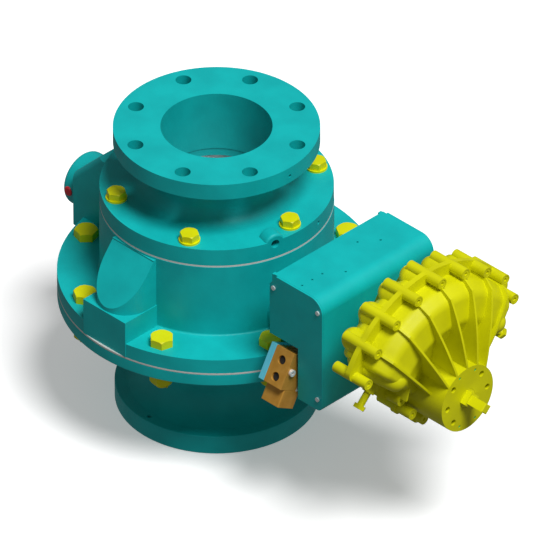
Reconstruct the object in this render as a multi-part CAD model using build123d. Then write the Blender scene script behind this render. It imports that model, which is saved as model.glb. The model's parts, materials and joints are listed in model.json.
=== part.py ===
from build123d import *
import math
import os

os.makedirs("parts", exist_ok=True)

# Driving dimensions, in millimetres.
# Z runs up the flow passage from the face of the bottom flange.
# X runs along the plug shaft, from the valve towards the actuator.
HEIGHT = 453.0
AXIS_Z = 238.5
BORE_R = 77.0

# End flanges, DN 150 PN 16
END_FLANGE_R = 142.5
END_BOLT_R = 120.0
END_BOLT_HOLE_R = 11.0
END_BOLTS = 8
TOP_FLANGE_T = 24.5
BOTTOM_FLANGE_T = 29.0
TAPPED_DEPTH = 25.0

# Body, cover and base
GASKET_T = 3.0
PLATE_T = 18.0
BODY_Z = 193.0
BODY_TOP = 328.5
BODY_R = 162.0
BODY_BORE_R = 151.0
BODY_MOUTH_R = 128.0
BODY_FLANGE_R = 221.0
BODY_FLANGE_T = 22.0
COVER_R = 161.5
COVER_T = 26.0
NECK_R = 92.0
COVER_Z = BODY_TOP + GASKET_T
PLATE_TOP = BODY_Z - GASKET_T
PLATE_Z = PLATE_TOP - PLATE_T
PORT_ANGLE = -15.0
PORT_Z = 353.0
PORT_BOSS_R = 15.0
COVER_BOLT_R = 142.5
COVER_BOLTS = 6
BASE_BOLT_R = 196.0
BASE_BOLTS = 8
PAD_FACE = 218.0
PAD_TOP = 250.0
PAD_HALF = 41.0
HORN_R = 40.0
HORN_Y = 176.0
HOUSING_HALF = 46.0
HOUSING_FACE = 238.0
HOUSING_SLOPE_X = 188.8
INNER_BOSS_R = 36.0
IDLE_BOSS_R = 40.0
IDLE_BOSS_X = -265.0
GREASE_X = -252.0
DRIVE_BOSS_R = 60.0
DRIVE_NECK_R = 54.0
DRIVE_BOLT_R = 51.0
GLAND_BOLT_R = 34.0
IDLE_BORE_X = -222.0

# Plug and shafts
PLUG_R = 122.0
PLUG_T = 12.0
PLUG_RIM = 78.5
PLUG_SWEEP_R = 122.4
ARM_X0 = 82.0
ARM_X1 = 96.0
HUB_X1 = 118.0
SEAT_TOP = 350.0
HUB_R = 32.0
SHAFT_R = 20.0
BUSH_R = 25.0
RUN_GAP = 0.05
BUSH_X0 = 119.0
BUSH_X1 = 200.0
SHAFT_SQUARE = 27.0
ARM_HALF = 26.0
ARM_TOP = 95.0
ARM_FOOT_R = 40.0
PIN_X = 107.0
PIN_R = 5.0
PACKING_R = 27.5
GLAND_X0 = 238.0
GLAND_COLLAR_X = 278.0
GLAND_X1 = 286.0
GLAND_R = 40.0

# Bracket
BRACKET_X0 = 217.5
BRACKET_X1 = 312.5
BRACKET_STEP_X = 272.0
BRACKET_HALF = 105.5
BRACKET_Z0 = 182.0
BRACKET_Z1 = 365.0
BRACKET_STEP_Z = 266.0
SHEET_T = 6.0
END_PLATE_T = 3.0
LIP = 6.0
LIP_CHAMFER = (12.5, 17.0)
BEND_R = 22.0
# Small holes in the top of the bracket, as (x, y)
TOP_HOLES = ((263, -97.5), (263, -78), (263, -58.5), (282, -32.5), (244, 28.7), (263, 54.6))

# Pilot valve
PILOT_TOP_Y = -111.0
PILOT_TOP_Z = 256.0
PILOT_TILT = 30.0
PILOT_LONG = 54.0
PILOT_DEEP = 34.0
PILOT_X0 = 229.0
PILOT_X1 = 262.0
PILOT_PLATE_T = 10.0
COIL_LONG = 26.0
COIL_STEP = 9.0
PORT_R = 6.3
PORT_DEPTH = 24.0

# Vane actuator
SPLIT_X = 406.0
FACE_X = 484.0
STUB_X = 520.0
CASE_HUB_R = 50.0
CHAMBER_R = 148.0
CHAMBER_HALF = 42.0
FLANK_GAP = 27.0
CASE_WALL = 7.0
RIM_T = 4.0
RIM_R = 172.7
RIM_FLANK = 59.0
SCREW_BOSS_R = 7.9
HEAD_R = 5.8
SEAT_DEPTH = 4.5
LOBE_R = 17.0
CORNER_R = 16.5
NECK_SHAFT_R = 22.0
NECK_END = 466.0
STUB_R = 14.0
SHAFT_BORE_R = 27.0
BUSH_INNER_X = 46.0
RIM_BOLT_R = 166.0
VANE_HUB_R = 30.0
VANE_HALF_T = 8.0
VANE_GAP = 0.6
STOP_ARM = 101.0
STOP_R = 5.0
STOP_SEAT = 55.0
SEAL_HALF = 19.0
SEAL_SLOT = 4.0
STOP_GAP = 0.4
FACE_BOLT_R = 38.5
HUB_BOLT_R = 38.0


def sweep_x(section):
    """Turn a section drawn in the XZ plane about the shaft axis."""
    return revolve(section, Axis((0, 0, AXIS_Z), (1, 0, 0)))


def section_xz(points):
    """A closed outline of straight runs in the XZ plane."""
    return Plane.XZ * make_face(Polyline(*points, close=True))


def turned_z(points):
    """A ring or disc turned about the flow axis from (radius, height) points."""
    return revolve(section_xz(points), Axis.Z)


def turned_x(points):
    """A ring or disc turned about the shaft axis from (x, radius) points."""
    return sweep_x(section_xz([(x, AXIS_Z + r) for x, r in points]))


def tube_x(x0, x1, outer, inner=0.0, y=0.0, z=0.0):
    """A round bar or tube along X; y and z are measured from the shaft axis."""
    bar = Pos((x0 + x1) / 2, y, AXIS_Z + z) * (Rot(0, 90, 0) * Cylinder(outer, x1 - x0))
    if inner > 0:
        bar -= Pos((x0 + x1) / 2, y, AXIS_Z + z) * (Rot(0, 90, 0) * Cylinder(inner, x1 - x0 + 2))
    return bar


def tube_z(z0, z1, outer, inner=0.0, x=0.0, y=0.0):
    """A round bar or tube along Z."""
    bar = Pos(x, y, (z0 + z1) / 2) * Cylinder(outer, z1 - z0)
    if inner > 0:
        bar -= Pos(x, y, (z0 + z1) / 2) * Cylinder(inner, z1 - z0 + 2)
    return bar


def tube_y(y0, y1, radius, x, z):
    """A round bar along Y."""
    return Pos(x, (y0 + y1) / 2, z) * (Rot(90, 0, 0) * Cylinder(radius, abs(y1 - y0)))


def block(x0, x1, y0, y1, z0, z1):
    """A box between two corners."""
    return Pos((x0 + x1) / 2, (y0 + y1) / 2, (z0 + z1) / 2) * Box(x1 - x0, y1 - y0, z1 - z0)


def ring_of(count, radius, first=0.0):
    """Points on a circle in the XY plane."""
    for i in range(count):
        a = math.radians(first + i * 360 / count)
        yield radius * math.cos(a), radius * math.sin(a), math.degrees(a)


def hexagon_bar(flats, height, turn=0.0):
    """A hexagonal bar with its top corners turned off, standing on z = 0."""
    bar = Rot(0, 0, turn) * extrude(RegularPolygon(flats / 2, 6, major_radius=False), height)
    cone = Pos(0, 0, height / 2) * Cylinder(flats * 0.575, height)
    return bar & chamfer(cone.edges().group_by(Axis.Z)[-1], flats * 0.06)


def hex_bolt(flats, head, shank_r, length, turn=0.0):
    """A hexagon screw: its head stands on z = 0 and the shank hangs below."""
    return hexagon_bar(flats, head, turn) + Pos(0, 0, -length / 2) * Cylinder(shank_r, length)


def cap_screw(head_r, head, shank_r, length, key):
    """A socket screw: its head stands on z = 0 and the shank hangs below."""
    body = Pos(0, 0, head / 2) * Cylinder(head_r, head)
    body += Pos(0, 0, -length / 2) * Cylinder(shank_r, length)
    return body - Pos(0, 0, head * 0.45) * extrude(RegularPolygon(key / 2, 6, major_radius=False), head)


def along_x(part, x, y, z, toward=1):
    """Lay a part built along Z so that it points along +X or -X."""
    return Pos(x, y, z) * (Rot(0, 90 * toward, 0) * part)


def save(name, part):
    """Write one node of the assembly."""
    export_step(part, f"parts/{name}.step")


def soft_edges(part, edges, radius):
    """Round edges, with a smaller radius where the full one does not fit."""
    for r in (radius, radius * 0.6, radius * 0.3):
        try:
            rounded = fillet(edges, r)
            if rounded.is_valid:
                return rounded
        except Exception:
            pass
    return part


# ---- Valve -------------------------------------------------------------------

def shaft_housings():
    """The idle housing with a sloped top and the round drive housing."""
    slope = section_xz([
        (-140, BODY_Z), (-HOUSING_FACE, BODY_Z),
        (-HOUSING_FACE, BODY_TOP - (HOUSING_FACE - HOUSING_SLOPE_X)),
        (-HOUSING_SLOPE_X, BODY_TOP), (-140, BODY_TOP)])
    idle = extrude(slope, HOUSING_HALF, both=True)
    slope_edges = idle.edges().filter_by(lambda e: e.center().X < -HOUSING_SLOPE_X + 1
                                         and e.center().Z > AXIS_Z + 10)
    idle = soft_edges(idle, slope_edges, 9)
    corners = idle.edges().filter_by(Axis.Z).filter_by(lambda e: e.center().X < -HOUSING_FACE + 1)
    idle = soft_edges(idle, corners, 2)
    boss = tube_x(IDLE_BOSS_X, -HOUSING_FACE + 5, IDLE_BOSS_R)
    boss = soft_edges(boss, boss.edges().group_by(Axis.X)[0], 7)
    drive = tube_x(140, BODY_FLANGE_R + 5, DRIVE_NECK_R) & block(130, 240, -80, 80, BODY_Z, 330)
    return idle + boss + drive + tube_x(BODY_FLANGE_R + 1, BRACKET_STEP_X, DRIVE_BOSS_R)


def side_horn():
    """The flat pad and the half-round sloped horn on one side of the body."""
    horn = tube_z(BODY_Z, 326, HORN_R, x=0, y=-HORN_Y)
    horn += block(-HORN_R, HORN_R, -HORN_Y, -140, BODY_Z, 326)
    slope = Plane.YZ * make_face(Polyline((-230, 239), (-161.8, 324), (-161.8, 340), (-230, 340),
                                          close=True))
    horn -= extrude(slope, 60, both=True)
    pad = block(-PAD_HALF, PAD_HALF, -PAD_FACE, -140, BODY_Z, PAD_TOP)
    near = horn + pad
    foot = [e for e in near.edges() if abs(e.center().Z - PAD_TOP) < 0.6
            and e.center().Y > -PAD_FACE + 1 and e.geom_type == GeomType.CIRCLE]
    return soft_edges(near, foot, 6)


def valve_body():
    """Cast body: bolted flange, barrel, housings, pads and horns around one chamber."""
    flange_top = BODY_Z + BODY_FLANGE_T
    with BuildPart() as barrel:
        with BuildSketch(Plane.XZ):
            with BuildLine():
                Polyline((0, BODY_Z), (BODY_FLANGE_R, BODY_Z), (BODY_FLANGE_R, flange_top),
                         (BODY_R + 3, flange_top))
                RadiusArc((BODY_R + 3, flange_top), (BODY_R, flange_top + 3), 3)
                Polyline((BODY_R, flange_top + 3), (BODY_R, BODY_TOP), (0, BODY_TOP), (0, BODY_Z))
            make_face()
        revolve(axis=Axis.Z)
    body = barrel.part + shaft_housings() + side_horn()
    body -= block(-60, 60, -PAD_FACE - 20, -PAD_FACE, BODY_Z - 1, BODY_TOP)
    body -= turned_z([(0, BODY_Z - 1), (BODY_BORE_R, BODY_Z - 1), (BODY_BORE_R, 285),
                      (BODY_MOUTH_R, 300), (BODY_MOUTH_R, BODY_TOP + 1), (0, BODY_TOP + 1)])
    body += tube_x(-155, -121, INNER_BOSS_R) + tube_x(121, 155, INNER_BOSS_R)
    body -= tube_x(IDLE_BORE_X, 205, BUSH_R)
    body -= tube_x(BUSH_X1, BRACKET_STEP_X + 1, PACKING_R)
    body -= tube_x(-258, -200, 8)
    body -= tube_y(-50, 0, 5, GREASE_X, AXIS_Z)
    body -= tube_y(-50, -22, 7.2, GREASE_X, AXIS_Z)
    for x, y, a in ring_of(COVER_BOLTS, COVER_BOLT_R):
        body -= tube_z(BODY_TOP - 26, BODY_TOP + 1, 8.0, x=x, y=y)
    for x, y, a in ring_of(BASE_BOLTS, BASE_BOLT_R, 22.5):
        body -= tube_z(BODY_Z - 1, flange_top + 1, 10.5, x=x, y=y)
    for y, z, a in ring_of(4, DRIVE_BOLT_R, 45):
        body -= tube_x(250, 273, 5.0, y=y, z=z)
    return body


def top_cover():
    """Cover with the inlet neck and the top flange, and its test port."""
    z0 = COVER_Z
    z1 = COVER_Z + COVER_T
    z2 = HEIGHT - TOP_FLANGE_T
    with BuildPart() as shell:
        with BuildSketch(Plane.XZ):
            with BuildLine():
                Polyline((BORE_R, z0), (COVER_R, z0), (COVER_R, z1), (NECK_R + 24, z1))
                RadiusArc((NECK_R + 24, z1), (NECK_R, z1 + 24), 24)
                Line((NECK_R, z1 + 24), (NECK_R, z2 - 9))
                RadiusArc((NECK_R, z2 - 9), (NECK_R + 9, z2), 9)
                Polyline((NECK_R + 9, z2), (END_FLANGE_R, z2), (END_FLANGE_R, HEIGHT),
                         (BORE_R, HEIGHT), (BORE_R, z0))
            make_face()
        revolve(axis=Axis.Z)
    cover = shell.part
    boss = Rot(0, 0, PORT_ANGLE) * (Pos(150.5, 0, PORT_Z)
                                    * (Rot(0, 90, 0) * Cylinder(PORT_BOSS_R, 22)))
    boss = soft_edges(boss, boss.edges(), 4)
    boss &= tube_z(COVER_Z, 380, COVER_R)
    cover += boss
    cover -= Rot(0, 0, PORT_ANGLE) * (Pos(155, 0, PORT_Z) * (Rot(0, 90, 0) * Cylinder(6.5, 14)))
    cover -= Rot(0, 0, -PORT_ANGLE) * (Pos(155, 0, 347) * (Rot(0, 90, 0) * Cylinder(2.8, 14)))
    cover -= Pos(135, 0, 439) * (Rot(0, 90, 0) * Cylinder(2.5, 16))
    cover -= tube_z(COVER_Z - 1, SEAT_TOP, 100)
    cover -= tube_z(SEAT_TOP - 1, SEAT_TOP + 12, BORE_R + 1)
    for x, y, a in ring_of(END_BOLTS, END_BOLT_R, 22.5):
        cover -= tube_z(z2 - 1, HEIGHT + 1, END_BOLT_HOLE_R, x=x, y=y)
    for x, y, a in ring_of(COVER_BOLTS, COVER_BOLT_R):
        cover -= tube_z(COVER_Z - 1, z1 + 1, 8.5, x=x, y=y)
        cover -= tube_z(z1, z1 + 18, 15.5, x=x, y=y)
    return cover


def outlet_base():
    """Base with the mating plate, the flared neck and the bottom flange."""
    cone_top = (132.0, PLATE_TOP)
    with BuildPart() as shell:
        with BuildSketch(Plane.XZ):
            with BuildLine():
                Polyline((BORE_R, 0), (END_FLANGE_R, 0), (END_FLANGE_R, BOTTOM_FLANGE_T),
                         (127, BOTTOM_FLANGE_T))
                ThreePointArc((127, BOTTOM_FLANGE_T), (103, 42), (94, 72))
                Line((94, 72), (97, 112))
                ThreePointArc((97, 112), (109, 146), (142, PLATE_Z - 10))
                RadiusArc((142, PLATE_Z - 10), (158, PLATE_Z), 26)
                Polyline((158, PLATE_Z), (BODY_FLANGE_R, PLATE_Z), (BODY_FLANGE_R, PLATE_TOP),
                         cone_top)
                Line(cone_top, (129, PLATE_Z + 8))
                ThreePointArc((129, PLATE_Z + 8), (98, 135), (84, 108))
                Polyline((84, 108), (BORE_R, 84), (BORE_R, 0))
            make_face()
        revolve(axis=Axis.Z)
    base = shell.part
    base -= Pos(0, 0, AXIS_Z) * Sphere(PLUG_SWEEP_R + 4)
    for x, y, a in ring_of(END_BOLTS, END_BOLT_R, 22.5):
        base -= tube_z(-1, TAPPED_DEPTH, END_BOLT_HOLE_R - 2.0, x=x, y=y)
    for x, y, a in ring_of(BASE_BOLTS, BASE_BOLT_R, 22.5):
        base -= tube_z(PLATE_Z - 1, PLATE_TOP + 1, 10.5, x=x, y=y)
    base -= tube_z(14, BOTTOM_FLANGE_T + 1, 3, x=0, y=-132)
    return base


def flat_gasket(z0, outer, inner, count, bolt_r, hole_r, first):
    """A flat ring gasket with bolt holes."""
    ring = tube_z(z0, z0 + GASKET_T, outer, inner)
    for x, y, a in ring_of(count, bolt_r, first):
        ring -= tube_z(z0 - 1, z0 + GASKET_T + 1, hole_r, x=x, y=y)
    return ring


def seat_ring():
    """Metal seat ring held in the cover."""
    return turned_z([(BORE_R, SEAT_TOP), (99.9, SEAT_TOP), (99.9, 327), (88, 327), (88, 338),
                     (BORE_R, 338)])


def seat_seal():
    """Rubber seal that closes on the dome of the plug."""
    ring = turned_z([(BORE_R, 338), (88, 338), (88, 318), (BORE_R, 318)])
    return ring - Pos(0, 0, AXIS_Z) * Sphere(PLUG_SWEEP_R)


def placed_bolts(part, count, radius, z, first):
    """Copies of one fastener set on a bolt circle, each its own solid."""
    return Compound(children=[Pos(x, y, z) * (Rot(0, 0, a) * part)
                              for x, y, a in ring_of(count, radius, first)])


def cover_fasteners():
    washer_top = COVER_Z + COVER_T + GASKET_T
    washer = tube_z(0, GASKET_T, 15, 8.05)
    save("cover_washers", placed_bolts(washer, COVER_BOLTS, COVER_BOLT_R, COVER_Z + COVER_T, 0))
    bolt = hex_bolt(24, 10, 8.0, 52, 30)
    save("cover_bolts", placed_bolts(bolt, COVER_BOLTS, COVER_BOLT_R, washer_top, 0))


def base_fasteners():
    flange_top = BODY_Z + BODY_FLANGE_T
    bolt = hex_bolt(30, 12.5, 10.0, 68, 22.5)
    save("base_bolts", placed_bolts(bolt, BASE_BOLTS, BASE_BOLT_R, flange_top, 22.5))
    nut = hexagon_bar(30, 16) - tube_z(-1, 17, 10.05)
    nut = Rot(180, 0, 0) * nut
    save("base_nuts", placed_bolts(nut, BASE_BOLTS, BASE_BOLT_R, PLATE_Z - GASKET_T, 22.5))
    washer = tube_z(-GASKET_T, 0, 18, 10.05)
    save("base_washers", placed_bolts(washer, BASE_BOLTS, BASE_BOLT_R, PLATE_Z, 22.5))


def plug_dome():
    """Dome segment of a sphere on two arms, turned about the shaft axis."""
    ball = Pos(0, 0, AXIS_Z) * Sphere(PLUG_R)
    dome = ball - Pos(0, 0, AXIS_Z) * Sphere(PLUG_R - PLUG_T)
    dome &= block(-150, 150, -150, 150, AXIS_Z + PLUG_RIM, AXIS_Z + 150)
    for side in (-1, 1):
        x0, x1 = sorted((side * ARM_X0, side * ARM_X1))
        arm = block(x0, x1, -ARM_HALF, ARM_HALF, AXIS_Z, AXIS_Z + ARM_TOP)
        foot = tube_x(x0, x1, ARM_FOOT_R)
        dome += (arm + foot) & ball
        h0, h1 = sorted((side * ARM_X0, side * HUB_X1))
        dome += tube_x(h0, h1, HUB_R)
    dome -= tube_x(-HUB_X1 - 1, HUB_X1 + 1, SHAFT_R) - tube_x(-ARM_X0, ARM_X0, SHAFT_R + 1)
    for x in (-PIN_X, PIN_X):
        dome -= tube_z(AXIS_Z - 40, AXIS_Z + 40, PIN_R, x=x)
    return dome


def drive_shaft():
    """Shaft from the plug hub out to the square that enters the vane."""
    shaft = tube_x(ARM_X0, 316, SHAFT_R)
    half = SHAFT_SQUARE / 2
    square = block(316, 344, -half, half, AXIS_Z - half, AXIS_Z + half)
    shaft += Pos(0, 0, AXIS_Z) * (Rot(45, 0, 0) * (Pos(0, 0, -AXIS_Z) * square))
    return shaft - tube_z(AXIS_Z - 40, AXIS_Z + 40, PIN_R, x=PIN_X)


def idle_shaft():
    """Short trunnion on the side away from the actuator."""
    shaft = tube_x(-218, -ARM_X0, SHAFT_R)
    shaft = chamfer(shaft.edges().group_by(Axis.X)[0], 2)
    return shaft - tube_z(AXIS_Z - 40, AXIS_Z + 40, PIN_R, x=-PIN_X)


def shaft_bush(side):
    """Flanged bronze bush in a housing."""
    return turned_x([(side * BUSH_X0, SHAFT_R + RUN_GAP), (side * BUSH_X0, 31),
                     (side * 121, 31), (side * 121, BUSH_R), (side * BUSH_X1, BUSH_R),
                     (side * BUSH_X1, SHAFT_R + RUN_GAP)])


def gland():
    """Gland follower that presses the packing, bolted inside the bracket."""
    outer = PACKING_R - 0.1
    inner = SHAFT_R + RUN_GAP
    part = turned_x([(GLAND_X0, inner), (GLAND_X0, outer), (GLAND_COLLAR_X, outer),
                     (GLAND_COLLAR_X, GLAND_R), (GLAND_X1, GLAND_R), (GLAND_X1, inner)])
    for y, z, a in ring_of(3, GLAND_BOLT_R, 90):
        part -= tube_x(270, 290, 3.2, y=y, z=z)
    return part


def grease_plug():
    """Domed plug in the side of the idle boss."""
    cup = tube_y(-42.5, -22, 7.2, GREASE_X, AXIS_Z)
    return soft_edges(cup, cup.edges().group_by(Axis.Y)[0], 2.5)


# ---- Bracket -------------------------------------------------------------------

def mounting_bracket():
    """Folded and welded box that joins the actuator to the drive housing."""
    half = BRACKET_HALF
    outline = [(BRACKET_X0, BRACKET_STEP_Z), (BRACKET_STEP_X, BRACKET_STEP_Z),
               (BRACKET_STEP_X, BRACKET_Z0), (BRACKET_X1, BRACKET_Z0),
               (BRACKET_X1, BRACKET_Z1), (BRACKET_X0, BRACKET_Z1)]
    box = extrude(section_xz(outline), half, both=True)
    fold = box.edges().filter_by(Axis.Y).sort_by(lambda e: e.center().X + e.center().Z)[-1]
    box = fillet(fold, BEND_R)
    low = box.edges().filter_by(Axis.Y).group_by(Axis.Z)[0].sort_by(Axis.X)[-1]
    box = fillet(low, 9)
    t = SHEET_T
    inner = [(BRACKET_X0 - 1, BRACKET_STEP_Z + t), (BRACKET_STEP_X + t, BRACKET_STEP_Z + t),
             (BRACKET_STEP_X + t, BRACKET_Z0 + t), (BRACKET_X1 - t, BRACKET_Z0 + t),
             (BRACKET_X1 - t, BRACKET_Z1 - t), (BRACKET_X0 - 1, BRACKET_Z1 - t)]
    hollow = extrude(section_xz(inner), half + 1, both=True)
    fold = hollow.edges().filter_by(Axis.Y).sort_by(lambda e: e.center().X + e.center().Z)[-1]
    box -= fillet(fold, BEND_R - t)
    box += block(BRACKET_STEP_X, BRACKET_STEP_X + t, -half, half, BRACKET_STEP_Z, BRACKET_Z1 - t)
    for side in (-1, 1):
        for x, z in end_plate_screws():
            bar = block(x - 6, x + 6, half - 12, half, z - 6, z + 6)
            box += bar if side > 0 else mirror(bar, Plane.XZ)
        ear = block(BRACKET_X0 - 4, BRACKET_X0 + 8, half - 6, half, 336, BRACKET_Z1 - 1)
        box += ear if side > 0 else mirror(ear, Plane.XZ)
    box -= block(BRACKET_X0 - 1, BRACKET_STEP_X, -66, 66, BRACKET_STEP_Z - 1,
                 BRACKET_STEP_Z + t + 20)
    box -= tube_x(BRACKET_STEP_X - 1, BRACKET_STEP_X + t + 1, 28.2)
    box -= tube_x(BRACKET_X1 - t - 1, BRACKET_X1 + 1, 31)
    for y, z, a in ring_of(4, DRIVE_BOLT_R, 45):
        box -= tube_x(BRACKET_STEP_X - 1, BRACKET_STEP_X + t + 1, 5.2, y=y, z=z)
    for y, z, a in ring_of(3, GLAND_BOLT_R, 90):
        box -= tube_x(BRACKET_STEP_X - 1, BRACKET_STEP_X + t + 1, 3.0, y=y, z=z)
    for y, z, a in ring_of(4, HUB_BOLT_R, 45):
        box -= tube_x(BRACKET_X1 - t - 1, BRACKET_X1 + 1, 5.2, y=y, z=z)
    for x, y in TOP_HOLES:
        box -= tube_z(BRACKET_Z1 - t - 1, BRACKET_Z1 + 1, 1.7, x=x, y=y)
    for side in (-1, 1):
        for x, z in end_plate_screws():
            box -= tube_y(side * (half - 10), side * (half + 1), 1.6, x, z)
    return box


def end_plate_screws():
    """Centres of the three screws that hold an end plate."""
    top, right = BRACKET_Z1 - 20.3, BRACKET_X1 - 8
    return ((BRACKET_X0 + 2, top), (right, top), (right, BRACKET_Z0 + 18.4))


def end_plate(side):
    """Stepped plate that closes one end of the bracket."""
    left, step = BRACKET_X0 - LIP, BRACKET_STEP_X - LIP
    cut_x, cut_z = LIP_CHAMFER
    outline = [(left, BRACKET_STEP_Z), (step, BRACKET_STEP_Z), (step, BRACKET_Z0),
               (BRACKET_X1, BRACKET_Z0), (BRACKET_X1, BRACKET_Z1), (left + cut_x, BRACKET_Z1),
               (left, BRACKET_Z1 - cut_z)]
    plate = extrude(section_xz(outline), END_PLATE_T / 2, both=True)
    fold = plate.edges().filter_by(Axis.Y).sort_by(lambda e: e.center().X + e.center().Z)[-1]
    plate = fillet(fold, BEND_R)
    low = plate.edges().filter_by(Axis.Y).group_by(Axis.Z)[0].sort_by(Axis.X)[-1]
    plate = fillet(low, 9)
    plate = Pos(0, side * (BRACKET_HALF + END_PLATE_T / 2), 0) * plate
    for x, z in end_plate_screws():
        plate -= tube_y(side * (BRACKET_HALF - 1), side * (BRACKET_HALF + 5), 1.9, x, z)
    return plate


def end_plate_screw_set():
    """Pan-head screws in both end plates."""
    screws = []
    for side in (-1, 1):
        face = side * (BRACKET_HALF + END_PLATE_T)
        for x, z in end_plate_screws():
            head = tube_y(face, face + side * 1.8, 3.4, x, z)
            screws.append(head + tube_y(face - side * 9, face, 1.55, x, z))
    return Compound(children=screws)


# ---- Pilot valve -----------------------------------------------------------------

def pilot_frame(part):
    """Place a part drawn with +Z up its face and +Y inwards on the tilted valve."""
    return Pos(0, PILOT_TOP_Y, PILOT_TOP_Z) * (Rot(-PILOT_TILT, 0, 0) * part)


def pilot_valve_block():
    """Ported block of the pilot valve."""
    body = block(PILOT_X0, PILOT_X1, 0, PILOT_DEEP, -PILOT_LONG, 0)
    middle = (PILOT_X0 + PILOT_X1) / 2
    for z in (-16, -41):
        body -= tube_y(-1, PORT_DEPTH, PORT_R, middle, z)
    return pilot_frame(body)


def pilot_coil():
    """Square coil housing below the ported block."""
    body = block(PILOT_X0, PILOT_X1, COIL_STEP, PILOT_DEEP + COIL_STEP, -PILOT_LONG - COIL_LONG,
                 -PILOT_LONG)
    body = fillet(body.edges().filter_by(Axis.Z), 2)
    return pilot_frame(body)


def pilot_coil_nut():
    """Round nut on the side of the ported block."""
    nut = tube_x(PILOT_X1, PILOT_X1 + 4, 5.0, 2.2)
    return pilot_frame(Pos(0, 8, -AXIS_Z - PILOT_LONG / 2) * nut)


def pilot_plate():
    """Adapter plate between the pilot valve and its support arm."""
    return pilot_frame(block(PILOT_X0 - PILOT_PLATE_T, PILOT_X0, 0, PILOT_DEEP, -PILOT_LONG, 0))


def pilot_support():
    """Bent strip that carries the pilot valve under the step of the bracket."""
    strip = block(PILOT_X0, PILOT_X1, PILOT_DEEP, PILOT_DEEP + 5, -PILOT_LONG, 4)
    strip = pilot_frame(strip)
    low_y = PILOT_TOP_Y + PILOT_DEEP * 0.87
    arm = block(PILOT_X0, PILOT_X1, low_y - 18, low_y + 12, BRACKET_STEP_Z - 6, BRACKET_STEP_Z)
    web = block(PILOT_X0, PILOT_X1, low_y - 2, low_y + 12, BRACKET_STEP_Z - 30, BRACKET_STEP_Z)
    web -= pilot_frame(block(PILOT_X0 - 1, PILOT_X1 + 1, -60, PILOT_DEEP, -120, 60))
    return strip + arm + web


# ---- Actuator ----------------------------------------------------------------------

def fan_face(radius, flank, low):
    """Fan outline across the shaft: a disc cut by two flanks at 45 degrees and a low line."""
    disc = Circle(radius)
    reach = radius * 3
    wedge_tip = -flank * math.sqrt(2)
    wedge = make_face(Polyline((0, wedge_tip), (reach, wedge_tip + reach),
                               (-reach, wedge_tip + reach), close=True))
    above = Pos(0, low + reach) * Rectangle(2 * reach, 2 * reach)
    return Plane.YZ * (Pos(0, AXIS_Z) * (disc & wedge & above))


def fan(x0, x1, radius, flank, low=0.0):
    """The fan outline made solid between two planes."""
    return Pos(x0, 0, 0) * extrude(fan_face(radius, flank, low), x1 - x0)


def chamber_section(grow):
    """Half section of the vane chamber, grown by a wall thickness."""
    side = [(18, 45), (CHAMBER_HALF, 106), (CHAMBER_HALF - 5, 138), (24, CHAMBER_R)]
    points = [(-x, r) for x, r in side] + [(x, r) for x, r in reversed(side)]
    face = make_face(Polyline((-18, -60), *points, (18, -60), close=True))
    face = fillet(face.vertices().filter_by(lambda v: v.Y > 20), 11)
    if grow:
        face = offset(face, amount=grow)
    face &= Pos(0, 150) * Rectangle(300, 300)
    return Plane.XZ * (Pos(SPLIT_X, AXIS_Z) * face)


def chamber_space(grow, flank, low):
    """The vane's swept space, or the same grown by a wall."""
    swept = sweep_x(chamber_section(grow))
    return swept & fan(SPLIT_X - 90, SPLIT_X + 90, CHAMBER_R + grow + 1, flank, low)


def rim_outline():
    """Outline of the bolted joint flange between the two casings."""
    lobes = [Pos(y, AXIS_Z + z) * Circle(10.5) for y, z in casing_bolts() if z < 20]
    outline = fan_face(RIM_R, RIM_FLANK, 0)
    hub = Plane.YZ * (Pos(0, AXIS_Z) * Circle(62))
    for lobe in lobes:
        hub += Plane.YZ * lobe
    corner = fillet(outline.vertices().filter_by(lambda v: v.Z > AXIS_Z + 40), 12)
    return corner + hub


def casing_bolts():
    """(y, z) of the joint screws, measured from the shaft axis."""
    spots = []
    for i in range(7):
        a = math.radians(42 + 16 * i)
        spots.append((RIM_BOLT_R * math.cos(a), RIM_BOLT_R * math.sin(a)))
    for side in (-1, 1):
        spots += [(side * 142.0, 69.3), (side * 78.0, 10.0), (side * 56.0, -24.0),
                  (side * 20.0, -57.0)]
    return spots


def casing_rib(k, toward, top):
    """Thin rib from the wall at the rim to the hub, numbered from the middle."""
    a0 = math.radians(90 + 16 * k)
    a1 = math.radians(90 + 24 * k)
    outer = (158 * math.cos(a0), 158 * math.sin(a0))
    inner = (CASE_HUB_R * 0.9 * math.cos(a1), CASE_HUB_R * 0.9 * math.sin(a1))
    dy, dz = outer[0] - inner[0], outer[1] - inner[1]
    length = math.hypot(dy, dz)
    crown = 46.0
    with BuildSketch() as shape:
        with BuildLine():
            Polyline((0, 0), (length, 0), (length, 31), (length - 9, crown))
            ThreePointArc((length - 9, crown),
                          ((length - 9) / 2 - 2, (crown + top) / 2 + 5), (5, top))
            Polyline((5, top), (0, top), (0, 0))
        make_face()
    plane = Plane(origin=(SPLIT_X, inner[0], AXIS_Z + inner[1]), x_dir=(0, dy, dz),
                  z_dir=Vector(0, dy, dz).cross(Vector(toward, 0, 0)))
    return extrude(plane * shape.sketch, 1.6, both=True)


def arc_rib(side, toward):
    """Short curved rib about the hub on one flank."""
    ring = tube_x(*sorted((SPLIT_X, SPLIT_X + toward * 40)), 82, 79)
    lo, hi = (8, 56) if side > 0 else (124, 172)
    sector = make_face(Polyline((0, 0), *[(140 * math.cos(math.radians(a)),
                                           140 * math.sin(math.radians(a)))
                                          for a in (lo, (lo + hi) / 2, hi)], close=True))
    cut = extrude(Plane.YZ * (Pos(0, AXIS_Z) * sector), 100)
    return ring & (Pos(SPLIT_X - 50 if toward < 0 else SPLIT_X - 10, 0, 0) * cut)


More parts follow.
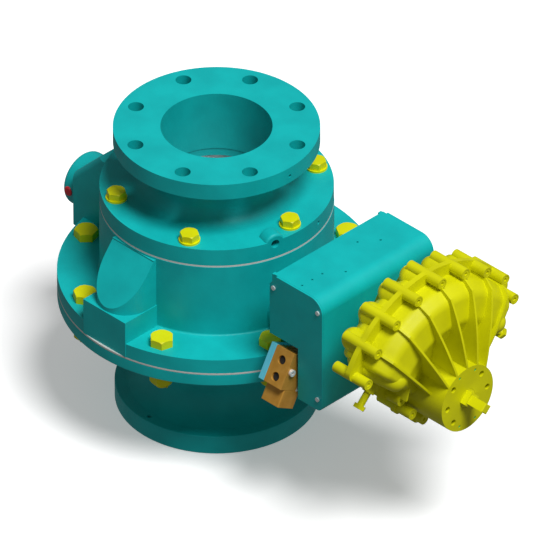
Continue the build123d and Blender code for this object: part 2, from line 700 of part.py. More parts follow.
def corner_lobe(side, toward):
    """Rounded, tilted bulge at the outer corner of the chamber."""
    spots = []
    for x, r, degrees in ((2, 134, 32), (34, 112, 31)):
        a = math.radians(degrees)
        spots.append(Vector(SPLIT_X + toward * x, side * r * math.cos(a),
                            AXIS_Z + r * math.sin(a)))
    run = spots[1] - spots[0]
    bar = Plane(origin=spots[0], z_dir=run) * (Pos(0, 0, run.length / 2)
                                               * Cylinder(CORNER_R, run.length))
    return bar + Pos(*spots[0]) * Sphere(CORNER_R) + Pos(*spots[1]) * Sphere(CORNER_R)


def boss_depth(toward, z):
    """Length of a screw boss from the joint; the lowest two are short."""
    if z < -40:
        return 16.0
    return 29.0 if toward > 0 else 33.0


def casing(toward):
    """One half of the vane casing; toward is +1 for the front and -1 for the rear."""
    hub_end = FACE_X if toward > 0 else BRACKET_X1
    half_space = block(*sorted((SPLIT_X, SPLIT_X + toward * 120)), -220, 220, 100, 460)
    skin = chamber_space(CASE_WALL, FLANK_GAP + CASE_WALL, 0) & half_space
    crown = [e for e in skin.edges() if abs(e.center().X - SPLIT_X) > 30
             and e.geom_type != GeomType.CIRCLE]
    skin = soft_edges(skin, crown, 9)
    half = skin
    half += Pos(SPLIT_X if toward > 0 else SPLIT_X - RIM_T, 0, 0) * extrude(rim_outline(), RIM_T)
    half += tube_x(*sorted((SPLIT_X, hub_end)), CASE_HUB_R)
    for k in range(-3, 4):
        top = abs(hub_end - SPLIT_X) if abs(k) < 3 else 54
        half += casing_rib(k, toward, top)
    for side in (-1, 1):
        half += arc_rib(side, toward)
        half += corner_lobe(side, toward) & half_space
        half += stop_boss(side) & half_space
    for y, z in casing_bolts():
        end = SPLIT_X + toward * boss_depth(toward, z)
        half += tube_x(*sorted((SPLIT_X, end)), SCREW_BOSS_R, y=y, z=z)
    if toward < 0:
        for k in range(7):
            a = math.radians(42 + 16 * k)
            y, z = 149 * math.cos(a), 149 * math.sin(a)
            half += tube_x(SPLIT_X - 30, SPLIT_X, LOBE_R, y=y, z=z)
            half += Pos(SPLIT_X - 30, y, AXIS_Z + z) * Sphere(LOBE_R)
    half -= chamber_space(0, FLANK_GAP, 0)
    half -= tube_x(SPLIT_X - BUSH_INNER_X, SPLIT_X + BUSH_INNER_X, VANE_HUB_R + 0.8)
    if toward > 0:
        half -= tube_x(SPLIT_X, NECK_END, SHAFT_BORE_R)
        half -= tube_x(NECK_END, NECK_END + 10, NECK_SHAFT_R)
        half -= tube_x(NECK_END, FACE_X + 1, STUB_R + 0.4)
    else:
        half -= tube_x(BRACKET_X1 - 1, SPLIT_X, SHAFT_BORE_R)
    for y, z in casing_bolts():
        half -= tube_x(SPLIT_X - 60, SPLIT_X + 60, 3.05, y=y, z=z)
        seat = SPLIT_X + toward * (boss_depth(toward, z) - SEAT_DEPTH)
        half -= tube_x(*sorted((seat, seat + toward * 30)), HEAD_R + 0.2, y=y, z=z)
    for side in (-1, 1):
        half -= stop_bore(side)
    if toward > 0:
        for a in (0, 45, 135, 180, 225, 315):
            y, z = FACE_BOLT_R * math.cos(math.radians(a)), FACE_BOLT_R * math.sin(math.radians(a))
            half -= tube_x(FACE_X - 18, FACE_X + 1, 4.6, y=y, z=z)
        for y in (-15, 15):
            for z in (-40, 40):
                half -= tube_x(FACE_X - 12, FACE_X + 1, 2.1, y=y, z=z)
    else:
        for y, z, a in ring_of(4, HUB_BOLT_R, 45):
            half -= tube_x(BRACKET_X1 - 1, BRACKET_X1 + 24, 5.0, y=y, z=z)
    return half


def stop_axis(side, part):
    """Turn a part built along +Z so that it points into the chamber through one flank."""
    y = side * STOP_ARM * math.sin(math.radians(45))
    z = STOP_ARM * math.cos(math.radians(45))
    return Pos(SPLIT_X, y, AXIS_Z + z) * (Rot(45 * side, 0, 0) * part)


def stop_boss(side):
    """Boss that carries a stop screw, square to the flank."""
    depth = STOP_SEAT - FLANK_GAP
    return stop_axis(side, Pos(0, 0, -FLANK_GAP - depth / 2) * Cylinder(11, depth))


def stop_bore(side):
    """Running hole for a stop screw, with a seat for its lock nut."""
    hole = Pos(0, 0, -FLANK_GAP - 15) * Cylinder(STOP_R + RUN_GAP, 50)
    return stop_axis(side, hole + Pos(0, 0, -STOP_SEAT - 20) * Cylinder(11.5, 40))


def stop_screw(side, length):
    """Hexagon screw that limits the vane at one end of its turn."""
    screw = Rot(180, 0, 0) * hex_bolt(16, 6.5, STOP_R, length)
    return stop_axis(side, Pos(0, 0, -VANE_HALF_T - STOP_GAP - length) * screw)


def stop_nut(side):
    """Lock nut on a stop screw, against its boss."""
    nut = Rot(180, 0, 0) * (hexagon_bar(17, 6) - tube_z(-1, 7, STOP_R + RUN_GAP))
    return stop_axis(side, Pos(0, 0, -STOP_SEAT) * nut)


def vane():
    """Vane blade on its hub, at rest against the right-hand stop."""
    blade = sweep_x(chamber_section(-VANE_GAP))
    blade &= block(SPLIT_X - 60, SPLIT_X + 60, -VANE_HALF_T, VANE_HALF_T, AXIS_Z, AXIS_Z + 200)
    hub = tube_x(SPLIT_X - 45, SPLIT_X + 45, VANE_HUB_R)
    neck = tube_x(326, NECK_END - 0.5, NECK_SHAFT_R)
    part = blade + hub + neck
    half = SHAFT_SQUARE / 2 + 0.15
    part -= block(325, 348, -half, half, AXIS_Z - half, AXIS_Z + half)
    part -= block(SPLIT_X - SEAL_HALF, SPLIT_X + SEAL_HALF, -SEAL_SLOT, SEAL_SLOT,
                  AXIS_Z + CHAMBER_R - 8, AXIS_Z + CHAMBER_R + 2)
    return turn_about_shaft(part, -45)


def turn_about_shaft(part, degrees):
    """Turn a part about the shaft axis."""
    return Pos(0, 0, AXIS_Z) * (Rot(degrees, 0, 0) * (Pos(0, 0, -AXIS_Z) * part))


def vane_seal():
    """Rubber strip in the tip of the vane."""
    strip = block(SPLIT_X - SEAL_HALF, SPLIT_X + SEAL_HALF, -SEAL_SLOT, SEAL_SLOT,
                  AXIS_Z + CHAMBER_R - 8, AXIS_Z + CHAMBER_R - 0.4)
    return turn_about_shaft(strip, -45)


def output_stub():
    """Square end of the vane shaft in front of the hub."""
    collar = tube_x(NECK_END - 0.5, FACE_X, STUB_R)
    collar += block(FACE_X, 493, -10, 10, AXIS_Z - 10, AXIS_Z + 10)
    square = block(493, STUB_X, -6.75, 6.75, AXIS_Z - 6.75, AXIS_Z + 6.75)
    square = chamfer(square.faces().sort_by(Axis.X)[-1].edges(), 1)
    return turn_about_shaft(collar + square, 45)


def casing_bush(toward):
    """Bush for the vane shaft in a casing hub."""
    x0 = SPLIT_X + toward * BUSH_INNER_X
    x1 = NECK_END if toward > 0 else 330
    return tube_x(*sorted((x0, x1)), SHAFT_BORE_R, NECK_SHAFT_R + RUN_GAP)


def shaft_ring(x0, x1, outer, inner):
    """Rubber sealing ring round the vane shaft."""
    return tube_x(x0, x1, outer, inner + RUN_GAP)


def joint_screws():
    """Socket screws through the casing joint."""
    screws = []
    for y, z in casing_bolts():
        front, rear = boss_depth(1, z) - SEAT_DEPTH, boss_depth(-1, z) - SEAT_DEPTH
        screw = cap_screw(HEAD_R, SEAT_DEPTH - 0.5, 3.0, front + rear + 3.5, 5)
        screws.append(along_x(screw, SPLIT_X + front, y, AXIS_Z + z))
    return Compound(children=screws)


def joint_nuts():
    """Round nuts sunk in the rear bosses."""
    nut = tube_z(0, SEAT_DEPTH - 0.5, HEAD_R, 3.05)
    return Compound(children=[
        along_x(nut, SPLIT_X - boss_depth(-1, z) + SEAT_DEPTH, y, AXIS_Z + z, -1)
        for y, z in casing_bolts()])


def hub_screws(x, toward, radius):
    """Four hexagon screws through one wall of the bracket."""
    screw = hex_bolt(16, 6.5, 5.0, 24)
    return Compound(children=[along_x(screw, x, y, AXIS_Z + z, toward)
                              for y, z, a in ring_of(4, radius, 45)])


def gland_screws():
    """Three small screws that tighten the gland."""
    screw = cap_screw(4.5, 5, 3.0, 10, 5)
    return Compound(children=[along_x(screw, GLAND_X1, y, AXIS_Z + z)
                              for y, z, a in ring_of(3, GLAND_BOLT_R, 90)])


def hub_pin(x):
    """Pin that locks a plug hub to its shaft."""
    return tube_z(AXIS_Z - 29, AXIS_Z + 29, PIN_R, x=x)


def build():
    save("valve_body", valve_body())
    save("top_cover", top_cover())
    save("outlet_base", outlet_base())
    save("cover_gasket", flat_gasket(BODY_TOP, COVER_R, BODY_MOUTH_R, COVER_BOLTS, COVER_BOLT_R,
                                     8.5, 0))
    save("base_gasket", flat_gasket(PLATE_TOP, BODY_FLANGE_R, BODY_BORE_R, BASE_BOLTS,
                                    BASE_BOLT_R, 10.5, 22.5))
    save("seat_ring", seat_ring())
    save("seat_seal", seat_seal())
    cover_fasteners()
    base_fasteners()
    save("plug_dome", plug_dome())
    save("drive_shaft", drive_shaft())
    save("idle_shaft", idle_shaft())
    save("drive_pin", hub_pin(PIN_X))
    save("idle_pin", hub_pin(-PIN_X))
    save("drive_bush", shaft_bush(1))
    save("idle_bush", shaft_bush(-1))
    save("shaft_packing", tube_x(BUSH_X1, GLAND_X0, PACKING_R, SHAFT_R + RUN_GAP))
    save("gland", gland())
    save("gland_screws", gland_screws())
    save("grease_plug", grease_plug())
    save("mounting_bracket", mounting_bracket())
    save("bracket_screws", hub_screws(BRACKET_STEP_X + SHEET_T, 1, DRIVE_BOLT_R))
    save("end_plate_left", end_plate(-1))
    save("end_plate_right", end_plate(1))
    save("end_plate_screws", end_plate_screw_set())
    save("pilot_valve_block", pilot_valve_block())
    save("pilot_coil", pilot_coil())
    save("pilot_coil_nut", pilot_coil_nut())
    save("pilot_plate", pilot_plate())
    save("pilot_support", pilot_support())
    save("rear_casing", casing(-1))
    save("front_casing", casing(1))
    save("casing_screws", joint_screws())
    save("casing_nuts", joint_nuts())
    save("actuator_screws", hub_screws(BRACKET_X1 - SHEET_T, -1, HUB_BOLT_R))
    save("front_bush", casing_bush(1))
    save("rear_bush", casing_bush(-1))
    save("front_shaft_seal", shaft_ring(NECK_END, NECK_END + 10, NECK_SHAFT_R, STUB_R))
    save("rear_shaft_seal", shaft_ring(318, 330, SHAFT_BORE_R, NECK_SHAFT_R))
    save("vane", vane())
    save("vane_seal", vane_seal())
    save("output_stub", output_stub())
    save("stop_screw_left", stop_screw(-1, 72))
    save("stop_screw_right", stop_screw(1, 92))
    save("stop_nut_left", stop_nut(-1))
    save("stop_nut_right", stop_nut(1))


build()
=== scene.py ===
import json
import math

import bmesh
import bpy
from mathutils import Matrix, Vector

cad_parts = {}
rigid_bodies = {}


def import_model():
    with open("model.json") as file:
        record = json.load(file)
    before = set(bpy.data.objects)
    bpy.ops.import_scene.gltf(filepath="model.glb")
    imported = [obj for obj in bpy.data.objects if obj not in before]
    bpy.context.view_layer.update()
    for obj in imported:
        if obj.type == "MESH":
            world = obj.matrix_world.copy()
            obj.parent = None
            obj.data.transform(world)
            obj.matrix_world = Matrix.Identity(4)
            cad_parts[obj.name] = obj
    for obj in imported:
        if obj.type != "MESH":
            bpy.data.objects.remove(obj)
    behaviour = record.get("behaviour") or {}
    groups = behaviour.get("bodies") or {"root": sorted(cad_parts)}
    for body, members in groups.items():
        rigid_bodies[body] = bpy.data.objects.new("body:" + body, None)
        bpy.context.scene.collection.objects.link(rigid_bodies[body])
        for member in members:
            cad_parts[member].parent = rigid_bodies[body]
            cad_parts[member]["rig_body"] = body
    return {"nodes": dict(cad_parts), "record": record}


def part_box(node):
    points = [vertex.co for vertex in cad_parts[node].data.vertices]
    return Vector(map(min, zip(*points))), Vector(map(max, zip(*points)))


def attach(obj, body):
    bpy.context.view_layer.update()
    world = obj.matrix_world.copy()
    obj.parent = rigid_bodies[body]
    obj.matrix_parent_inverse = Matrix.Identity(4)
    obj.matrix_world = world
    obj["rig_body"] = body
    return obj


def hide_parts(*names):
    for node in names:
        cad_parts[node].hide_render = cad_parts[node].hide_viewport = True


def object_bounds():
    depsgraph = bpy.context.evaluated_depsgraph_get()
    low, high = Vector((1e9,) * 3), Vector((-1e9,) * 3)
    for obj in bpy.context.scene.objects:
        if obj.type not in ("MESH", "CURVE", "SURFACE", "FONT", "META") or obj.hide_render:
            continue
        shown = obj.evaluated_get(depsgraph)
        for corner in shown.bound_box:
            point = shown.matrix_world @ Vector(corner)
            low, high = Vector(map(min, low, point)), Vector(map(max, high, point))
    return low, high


MM = 0.001

# Tolerances for cleaning a copied mesh
MERGE = 0.002 * MM
FLAT_ANGLE = math.radians(0.6)
THREAD_MERGE = 0.01 * MM

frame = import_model()
cad_low, cad_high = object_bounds()
nodes = frame["nodes"]


# ---- Small tools ---------------------------------------------------------------

def linear(colour):
    """An sRGB hex colour as linear RGBA."""
    channels = [int(colour[i:i + 2], 16) / 255 for i in (1, 3, 5)]
    lit = [c / 12.92 if c <= 0.04045 else ((c + 0.055) / 1.055) ** 2.4 for c in channels]
    return (*lit, 1.0)


def add(tree, kind, settings=None, **links):
    """Add one node: settings are its properties or socket values, links are its inputs."""
    made = tree.nodes.new(kind)
    for key, value in (settings or {}).items():
        if key in made.inputs:
            made.inputs[key].default_value = value
        else:
            setattr(made, key, value)
    for key, source in links.items():
        tree.links.new(source, made.inputs[key.replace("_", " ")])
    return made


def new_material(name):
    """An empty material with its output."""
    made = bpy.data.materials.new(name)
    made.use_nodes = True
    made.node_tree.nodes.clear()
    return made, made.node_tree


def speckle(tree, size, detail=3.0, roughness=0.5):
    """Noise whose blobs are about size metres across, in the object's own space."""
    place = add(tree, "ShaderNodeTexCoord").outputs["Object"]
    return add(tree, "ShaderNodeTexNoise", {"Scale": 1 / size, "Detail": detail,
                                            "Roughness": roughness}, Vector=place).outputs["Fac"]


def between(tree, value, low, high, start=0.35, end=0.65):
    """Colours low to high as value goes from start to end."""
    ramp = add(tree, "ShaderNodeValToRGB", Fac=value)
    ramp.color_ramp.elements[0].position = start
    ramp.color_ramp.elements[0].color = linear(low)
    ramp.color_ramp.elements[1].position = end
    ramp.color_ramp.elements[1].color = linear(high)
    return ramp.outputs["Color"]


def spread(tree, value, low, high):
    """A value between low and high."""
    return add(tree, "ShaderNodeMapRange", {"From Min": 0.3, "From Max": 0.7, "To Min": low,
                                            "To Max": high}, Value=value).outputs["Result"]


def relief(tree, height, depth, below=None):
    """Bump of the given depth in metres."""
    made = add(tree, "ShaderNodeBump", {"Distance": depth, "Strength": 1.0}, Height=height)
    if below is not None:
        tree.links.new(below, made.inputs["Normal"])
    return made.outputs["Normal"]


# ---- Materials -------------------------------------------------------------------

def sprayed_enamel(name, shade, light, grain, grain_depth, rough):
    """Sprayed enamel: even colour, a soft gloss, and the skin of what lies under it."""
    made, tree = new_material(name)
    drift = speckle(tree, 45 * MM, 4.0)
    skin = speckle(tree, grain, 2.0, 0.6)
    peel = speckle(tree, 1.6 * MM, 1.0)
    shader = add(tree, "ShaderNodeBsdfPrincipled",
                 {"IOR": 1.5, "Specular IOR Level": 0.3},
                 Base_Color=between(tree, drift, shade, light),
                 Roughness=spread(tree, peel, rough - 0.05, rough + 0.07),
                 Normal=relief(tree, peel, 0.03 * MM, relief(tree, skin, grain_depth)))
    add(tree, "ShaderNodeOutputMaterial", Surface=shader.outputs["BSDF"])
    return made


def teal_enamel_on_iron():
    """Teal enamel on sand-cast iron: the sand grain shows as a fine pebbled skin."""
    return sprayed_enamel("teal_enamel_cast_iron", "#07b0b1", "#0abcbc", 2.4 * MM, 0.14 * MM, 0.5)


def teal_enamel_on_sheet():
    """Teal enamel on folded steel sheet: flatter and a little glossier than on iron."""
    return sprayed_enamel("teal_enamel_sheet_steel", "#07b3b4", "#0abebe", 6 * MM, 0.02 * MM, 0.45)


def yellow_enamel_on_casting():
    """Yellow enamel on die-cast aluminium: a smooth skin with a faint ripple."""
    return sprayed_enamel("yellow_enamel_cast_aluminium", "#d2d200", "#dfdf00", 3 * MM, 0.06 * MM, 0.52)


def yellow_enamel_on_bolt():
    """Yellow enamel on steel bolts: thick and glossy, and rounded over the corners."""
    return sprayed_enamel("yellow_enamel_steel_bolt", "#dada02", "#e6e605", 5 * MM, 0.02 * MM, 0.42)


def machined_steel():
    """Turned steel: fine rings left by the tool, and a soft metallic sheen."""
    made, tree = new_material("turned_steel")
    place = add(tree, "ShaderNodeTexCoord").outputs["Object"]
    rings = add(tree, "ShaderNodeTexWave", {"wave_type": "RINGS", "rings_direction": "X",
                                            "Scale": 400.0, "Distortion": 0.4}, Vector=place)
    shader = add(tree, "ShaderNodeBsdfPrincipled", {"Metallic": 1.0},
                 Base_Color=between(tree, speckle(tree, 20 * MM), "#a4a6a8", "#b9bbbc"),
                 Roughness=spread(tree, speckle(tree, 3 * MM), 0.28, 0.4),
                 Normal=relief(tree, rings.outputs["Fac"], 0.01 * MM))
    add(tree, "ShaderNodeOutputMaterial", Surface=shader.outputs["BSDF"])
    return made


def bright_zinc():
    """Zinc-plated screws: bright and slightly cloudy."""
    made, tree = new_material("bright_zinc_plate")
    shader = add(tree, "ShaderNodeBsdfPrincipled", {"Metallic": 0.35},
                 Base_Color=between(tree, speckle(tree, 2 * MM), "#e6e9eb", "#f6f8fa"),
                 Roughness=spread(tree, speckle(tree, 0.8 * MM), 0.2, 0.34))
    add(tree, "ShaderNodeOutputMaterial", Surface=shader.outputs["BSDF"])
    return made


def gasket_fibre():
    """Pressed white fibre sheet: matt, with short flecks."""
    made, tree = new_material("white_fibre_gasket")
    flecks = speckle(tree, 0.9 * MM, 4.0, 0.7)
    shader = add(tree, "ShaderNodeBsdfPrincipled", {"Roughness": 0.8, "IOR": 1.45},
                 Base_Color=between(tree, flecks, "#c9cac6", "#e6e6e2"),
                 Normal=relief(tree, flecks, 0.05 * MM))
    add(tree, "ShaderNodeOutputMaterial", Surface=shader.outputs["BSDF"])
    return made


def bronze_anodised():
    """Bronze-coloured anodised aluminium: satin, with a fine bead-blasted grain."""
    made, tree = new_material("bronze_anodised_aluminium")
    grain = speckle(tree, 0.8 * MM, 2.0, 0.6)
    shader = add(tree, "ShaderNodeBsdfPrincipled", {"Metallic": 0.35},
                 Base_Color=between(tree, speckle(tree, 14 * MM, 4.0), "#c89034", "#d8a044"),
                 Roughness=spread(tree, grain, 0.42, 0.56),
                 Normal=relief(tree, grain, 0.03 * MM))
    add(tree, "ShaderNodeOutputMaterial", Surface=shader.outputs["BSDF"])
    return made


def blue_anodised():
    """Light blue anodised plate with the faint lines of its rolled stock."""
    made, tree = new_material("blue_anodised_plate")
    place = add(tree, "ShaderNodeTexCoord").outputs["Object"]
    rolled = add(tree, "ShaderNodeMapping", {"Scale": (900.0, 60.0, 60.0)}, Vector=place)
    lines = add(tree, "ShaderNodeTexNoise", {"Scale": 1.0, "Detail": 2.0},
                Vector=rolled.outputs["Vector"]).outputs["Fac"]
    shader = add(tree, "ShaderNodeBsdfPrincipled", {"Metallic": 0.25},
                 Base_Color=between(tree, lines, "#66d6f0", "#74e0f8"),
                 Roughness=spread(tree, lines, 0.34, 0.46))
    add(tree, "ShaderNodeOutputMaterial", Surface=shader.outputs["BSDF"])
    return made


def red_polythene():
    """Moulded red polythene: a waxy surface with a little mould texture."""
    made, tree = new_material("red_moulded_polythene")
    skin = speckle(tree, 1.2 * MM, 2.0)
    shader = add(tree, "ShaderNodeBsdfPrincipled", {"IOR": 1.51},
                 Base_Color=between(tree, speckle(tree, 6 * MM), "#c81e2a", "#dc2833"),
                 Roughness=spread(tree, skin, 0.38, 0.5),
                 Normal=relief(tree, skin, 0.03 * MM))
    add(tree, "ShaderNodeOutputMaterial", Surface=shader.outputs["BSDF"])
    return made


def nitrile_rubber():
    """Black nitrile rubber: matt, with a faint bloom."""
    made, tree = new_material("black_nitrile_rubber")
    bloom = speckle(tree, 3 * MM, 3.0)
    shader = add(tree, "ShaderNodeBsdfPrincipled", {"IOR": 1.52},
                 Base_Color=between(tree, bloom, "#141414", "#222222"),
                 Roughness=spread(tree, bloom, 0.6, 0.75))
    add(tree, "ShaderNodeOutputMaterial", Surface=shader.outputs["BSDF"])
    return made


def bearing_bronze():
    """Bored bearing bronze: warm metal with fine tool rings."""
    made, tree = new_material("bored_bearing_bronze")
    shader = add(tree, "ShaderNodeBsdfPrincipled", {"Metallic": 1.0},
                 Base_Color=between(tree, speckle(tree, 10 * MM), "#9a6f3c", "#b18247"),
                 Roughness=spread(tree, speckle(tree, 1.5 * MM), 0.3, 0.42))
    add(tree, "ShaderNodeOutputMaterial", Surface=shader.outputs["BSDF"])
    return made


def aluminium_casting():
    """Bare cast aluminium of the vane: pale and slightly rough."""
    made, tree = new_material("bare_cast_aluminium")
    grain = speckle(tree, 1.5 * MM, 3.0)
    shader = add(tree, "ShaderNodeBsdfPrincipled", {"Metallic": 1.0},
                 Base_Color=between(tree, speckle(tree, 18 * MM), "#b7b9ba", "#c9cbcc"),
                 Roughness=spread(tree, grain, 0.38, 0.52),
                 Normal=relief(tree, grain, 0.05 * MM))
    add(tree, "ShaderNodeOutputMaterial", Surface=shader.outputs["BSDF"])
    return made


def green_locking_paint():
    """A dab of green thread-locking paint: bright and slightly glossy."""
    made, tree = new_material("green_locking_paint")
    shader = add(tree, "ShaderNodeBsdfPrincipled", {"IOR": 1.5},
                 Base_Color=between(tree, speckle(tree, 1.5 * MM), "#19b45c", "#2bd070"),
                 Roughness=spread(tree, speckle(tree, 0.6 * MM), 0.3, 0.4))
    add(tree, "ShaderNodeOutputMaterial", Surface=shader.outputs["BSDF"])
    return made


FINISH = {
    "green_paint": green_locking_paint(),
    "teal_paint": teal_enamel_on_iron(),
    "teal_sheet": teal_enamel_on_sheet(),
    "yellow_paint": yellow_enamel_on_casting(),
    "yellow_bolt": yellow_enamel_on_bolt(),
    "gasket_sheet": gasket_fibre(),
    "steel": machined_steel(),
    "zinc": bright_zinc(),
    "bronze": bronze_anodised(),
    "bearing": bearing_bronze(),
    "rubber": nitrile_rubber(),
    "red_plastic": red_polythene(),
    "blue_plate": blue_anodised(),
    "aluminium": aluminium_casting(),
}

NODE_SLOT = {s["node"]: s["material_slot"] for s in frame["record"]["subparts"]}

# Nodes whose finish differs from that of their slot's other nodes
OWN_FINISH = {
    "mounting_bracket": "teal_sheet", "end_plate_left": "teal_sheet", "end_plate_right": "teal_sheet",
    "end_plate_screws": "zinc", "pilot_coil_nut": "zinc", "pilot_support": "zinc",
    "bracket_screws": "zinc", "actuator_screws": "zinc", "gland_screws": "zinc",
    "drive_bush": "bearing", "idle_bush": "bearing", "front_bush": "bearing", "rear_bush": "bearing",
    "cover_bolts": "yellow_bolt", "cover_washers": "yellow_bolt", "base_bolts": "yellow_bolt",
    "base_nuts": "yellow_bolt", "base_washers": "yellow_bolt", "casing_screws": "yellow_bolt",
    "casing_nuts": "yellow_bolt", "stop_screw_left": "yellow_bolt", "stop_screw_right": "yellow_bolt",
    "stop_nut_left": "yellow_bolt", "stop_nut_right": "yellow_bolt", "output_stub": "yellow_bolt",
}


def finish_of(node):
    return FINISH[OWN_FINISH.get(node, NODE_SLOT[node])]


def put(obj, material):
    """Give a piece one material."""
    obj.data.materials.clear()
    obj.data.materials.append(material)


# ---- Finished copies of the CAD nodes ----------------------------------------------

def body_of(node):
    return nodes[node]["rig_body"]


def finished_copy(node, edge, angle=28.0):
    """A merged copy of a CAD node with its edges broken by a small bevel."""
    form = bmesh.new()
    form.from_mesh(nodes[node].data)
    bmesh.ops.remove_doubles(form, verts=form.verts, dist=MERGE)
    bmesh.ops.dissolve_limit(form, angle_limit=FLAT_ANGLE, verts=form.verts, edges=form.edges)
    mesh = bpy.data.meshes.new(node + "_finished")
    form.to_mesh(mesh)
    form.free()
    piece = bpy.data.objects.new(node + "_finished", mesh)
    bpy.context.scene.collection.objects.link(piece)
    mesh.shade_smooth()
    if not edge:
        mesh.set_sharp_from_angle(angle=math.radians(angle))
    else:
        bevel = piece.modifiers.new("edge", "BEVEL")
        bevel.width = edge
        bevel.segments = 2
        bevel.limit_method = "ANGLE"
        bevel.angle_limit = math.radians(angle)
        bevel.use_clamp_overlap = True
    normals = piece.modifiers.new("flat_faces", "WEIGHTED_NORMAL")
    normals.keep_sharp = True
    put(piece, finish_of(node))
    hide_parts(node)
    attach(piece, body_of(node))
    return piece


# Width in millimetres of the broken edges; 0 keeps an edge sharp and only smooths the rounds
EDGES = {"valve_body": 1.2, "top_cover": 1.2, "outlet_base": 1.2, "cover_gasket": 0.3,
         "base_gasket": 0.3, "mounting_bracket": 0.5, "end_plate_left": 0.4, "end_plate_right": 0.4,
         "pilot_valve_block": 0.5, "pilot_coil": 0.6, "pilot_plate": 0.4, "cover_bolts": 0.6,
         "base_nuts": 0.7, "output_stub": 0.5, "front_casing": 0.8, "rear_casing": 0.8,
         "stop_nut_left": 0.4, "stop_nut_right": 0.4, "pilot_support": 0.3, "casing_screws": 0,
         "casing_nuts": 0, "cover_washers": 0, "base_washers": 0, "grease_plug": 0,
         "pilot_coil_nut": 0, "seat_ring": 0, "plug_dome": 0, "vane": 0}


# ---- Threads ------------------------------------------------------------------------

def threaded_bar(form, length, radius, pitch, place):
    """Add a screw thread that runs up from z = 0, with a tapered end at its top."""
    turns = int(length / pitch)
    depth = pitch * 0.5
    around = 28
    older = set(form.verts)
    line = []
    for k in range(turns + 1):
        near_end = max(0.0, k - turns + 1) * depth
        line.append(form.verts.new((radius - depth, 0, k * pitch)))
        line.append(form.verts.new((radius - near_end, 0, (k + 0.5) * pitch)))
    edges = [form.edges.new(pair) for pair in zip(line, line[1:])]
    bmesh.ops.spin(form, geom=line + edges, cent=(0, 0, 0), axis=(0, 0, 1),
                   dvec=(0, 0, pitch / around), angle=2 * math.pi, steps=around)
    fresh = [v for v in form.verts if v not in older]
    bmesh.ops.transform(form, matrix=place, verts=fresh)


def thread_piece(name, node, bars):
    """A piece of screw threads, one for each (length, radius, pitch, place)."""
    form = bmesh.new()
    for length, radius, pitch, place in bars:
        threaded_bar(form, length, radius, pitch, place)
    bmesh.ops.remove_doubles(form, verts=form.verts, dist=THREAD_MERGE)
    bmesh.ops.holes_fill(form, edges=[e for e in form.edges if e.is_boundary])
    bmesh.ops.recalc_face_normals(form, faces=form.faces)
    mesh = bpy.data.meshes.new(name)
    form.to_mesh(mesh)
    form.free()
    piece = bpy.data.objects.new(name, mesh)
    bpy.context.scene.collection.objects.link(piece)
    mesh.shade_smooth()
    mesh.set_sharp_from_angle(angle=math.radians(50))
    put(piece, finish_of(node))
    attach(piece, body_of(node))
    return piece


def cut_copy(node, edge, point, away):
    """A finished copy that ends at a plane; what lies towards away is left off."""
    piece = finished_copy(node, edge)
    form = bmesh.new()
    form.from_mesh(piece.data)
    geometry = form.verts[:] + form.edges[:] + form.faces[:]
    cut = bmesh.ops.bisect_plane(form, geom=geometry, plane_co=point, plane_no=away, clear_outer=True)
    rim = [e for e in cut["geom_cut"] if isinstance(e, bmesh.types.BMEdge)]
    bmesh.ops.holes_fill(form, edges=rim)
    form.to_mesh(piece.data)
    form.free()
    return piece


def base_bolt_set():
    """The bolts of the base, whose thread shows below the nuts."""
    foot_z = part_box("base_bolts")[0].z
    cut_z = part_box("base_nuts")[0].z + 2 * MM
    cut_copy("base_bolts", 0.7 * MM, (0, 0, cut_z), (0, 0, -1))
    count, circle, shank_r, pitch = 8, 196 * MM, 10 * MM, 2.5 * MM
    bars = []
    for k in range(count):
        turn = 2 * math.pi * (k + 0.5) / count
        top = Vector((circle * math.cos(turn), circle * math.sin(turn), cut_z))
        place = Matrix.Translation(top) @ Matrix.Rotation(math.pi, 4, "X")
        bars.append((cut_z - foot_z, shank_r, pitch, place))
    thread_piece("base_bolt_threads", "base_bolts", bars)


def stop_screw_threads(side, name, length):
    """The thread of a stop screw, from its lock nut out to its head."""
    low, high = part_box("stop_nut_" + name)
    half_nut, crest_r, pitch = 3 * MM, 5.4 * MM, 1.5 * MM
    outward = Vector((0, side, -1)).normalized()
    start = (low + high) / 2 + outward * half_nut
    place = Matrix.Translation(start) @ outward.to_track_quat("Z", "X").to_matrix().to_4x4()
    thread_piece(f"stop_{name}_thread", "stop_screw_" + name, [(length, crest_r, pitch, place)])


# ---- Small pieces -------------------------------------------------------------------

def discs(name, node, radius, thick, places, material):
    """Flat round pieces on one node, one at each place, with their axis along Z there."""
    form = bmesh.new()
    for place in places:
        bmesh.ops.create_cone(form, cap_ends=True, segments=28, radius1=radius, radius2=radius * 0.94,
                              depth=thick, matrix=place)
    mesh = bpy.data.meshes.new(name)
    form.to_mesh(mesh)
    form.free()
    piece = bpy.data.objects.new(name, mesh)
    bpy.context.scene.collection.objects.link(piece)
    put(piece, material)
    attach(piece, body_of(node))


def port_shade_discs():
    """Black discs sunk just inside the two ports of the pilot valve: painted shade at the bottom of the
    port holes.
    """
    top_y, top_z, tilt = -111 * MM, 256 * MM, math.radians(30)
    first_port, second_port, sunk = 16 * MM, 41 * MM, 4 * MM
    shade_disc_r, shade_disc_t = 6.2 * MM, 2 * MM
    low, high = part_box("pilot_valve_block")
    frame_of_ports = Matrix.Translation((0, top_y, top_z)) @ Matrix.Rotation(-tilt, 4, "X")
    outward = Matrix.Rotation(math.pi / 2, 4, "X")
    middle = (low.x + high.x) / 2
    places = [frame_of_ports @ Matrix.Translation((middle, sunk, -down)) @ outward
              for down in (first_port, second_port)]
    # The black rubber finish here is painted shade in the port holes, not a real part.
    discs("port_shade_discs", "pilot_valve_block", shade_disc_r, shade_disc_t, places, FINISH["rubber"])


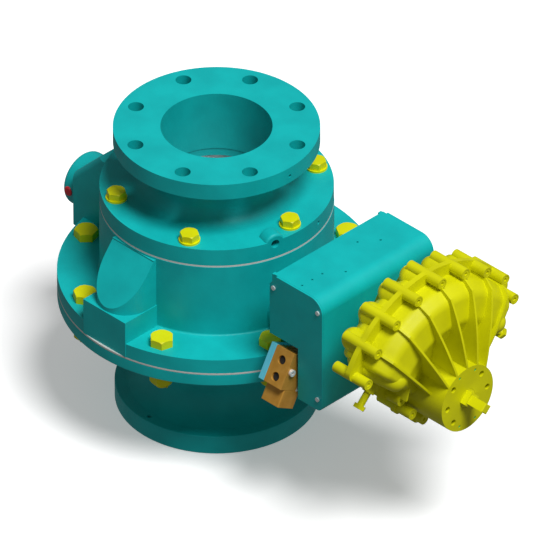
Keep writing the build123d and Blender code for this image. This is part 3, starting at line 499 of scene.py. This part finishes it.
def accessory_marks():
    """A dab of green paint in each accessory hole of the actuator's face."""
    holes = next(m for m in frame["record"]["mounts"] if m["name"] == "accessory_holes")
    face = Vector(holes["pos_m"])
    y = holes["dims"]["spacing_x_mm"] / 2 * MM
    z = holes["dims"]["spacing_y_mm"] / 2 * MM
    sunk, dab_r, dab_t = 1.2 * MM, 2 * MM, 1 * MM
    turn = Matrix.Rotation(math.pi / 2, 4, "Y")
    places = [Matrix.Translation(face + Vector((-sunk, a * y, b * z))) @ turn
              for a in (-1, 1) for b in (-1, 1)]
    discs("accessory_marks", "front_casing", dab_r, dab_t, places, FINISH["green_paint"])


port_shade_discs()
accessory_marks()
for node_name, edge_mm in EDGES.items():
    finished_copy(node_name, edge_mm * MM)
base_bolt_set()
stop_screw_threads(-1, "left", 19 * MM)
stop_screw_threads(1, "right", 39 * MM)
for node_name, node_object in nodes.items():
    if node_name not in EDGES and node_name != "base_bolts":
        put(node_object, finish_of(node_name))


# ---- Studio ------------------------------------------------------------------------

def floor():
    """Pale floor far larger than the view."""
    form = bmesh.new()
    bmesh.ops.create_grid(form, x_segments=1, y_segments=1, size=40.0)
    mesh = bpy.data.meshes.new("floor")
    form.to_mesh(mesh)
    form.free()
    made = bpy.data.objects.new("floor", mesh)
    bpy.context.scene.collection.objects.link(made)
    made.location.z = cad_low.z - 0.5 * MM
    material, tree = new_material("pale_floor")
    shade = between(tree, speckle(tree, 0.6), "#fbfbfb", "#ffffff")
    shader = add(tree, "ShaderNodeBsdfPrincipled", {"Roughness": 0.9, "Emission Strength": 0.3},
                 Base_Color=shade, Emission_Color=shade)
    add(tree, "ShaderNodeOutputMaterial", Surface=shader.outputs["BSDF"])
    put(made, material)
    made.visible_diffuse = False
    made.visible_glossy = False


def lamp(name, kind, energy, toward, size):
    """A sun or soft lamp that shines along toward."""
    light = bpy.data.lights.new(name, kind)
    light.energy = energy
    light.angle = size
    made = bpy.data.objects.new(name, light)
    made.rotation_euler = Vector(toward).to_track_quat("-Z", "Y").to_euler()
    bpy.context.scene.collection.objects.link(made)


def studio():
    """Pale surroundings and one soft light from above, leaning towards the actuator's side."""
    world = bpy.data.worlds.new("studio")
    bpy.context.scene.world = world
    world.use_nodes = True
    world.node_tree.nodes.clear()
    sky = add(world.node_tree, "ShaderNodeBackground", {"Color": (1, 1, 1, 1), "Strength": 0.16})
    add(world.node_tree, "ShaderNodeOutputWorld", Surface=sky.outputs["Background"])
    lamp("key", "SUN", 3.0, (-0.45, 0.06, -0.9), math.radians(24))
    bpy.context.scene.view_settings.view_transform = "Standard"
    bpy.context.scene.view_settings.look = "None"


def camera():
    """A very long lens at 45 degrees round and 35.26 degrees up, as a parallel view."""
    long_lens = 1000.0
    sensor = 36.0
    view_width = 0.7428
    shift_x, shift_z = -0.0237, 0.0358
    middle = (cad_low + cad_high) / 2
    aim = Vector((middle.x + shift_x, 0.0, middle.z + shift_z))
    distance = view_width * long_lens / sensor
    data = bpy.data.cameras.new("camera")
    data.lens = long_lens
    data.sensor_width = sensor
    data.clip_end = 100.0
    made = bpy.data.objects.new("camera", data)
    bpy.context.scene.collection.objects.link(made)
    around, up = math.radians(45), math.atan(math.sqrt(0.5))
    back = Vector((math.sin(around) * math.cos(up), -math.cos(around) * math.cos(up), math.sin(up)))
    made.location = aim + back * distance
    made.rotation_euler = (-back).to_track_quat("-Z", "Y").to_euler()
    bpy.context.scene.camera = made


floor()
studio()
camera()
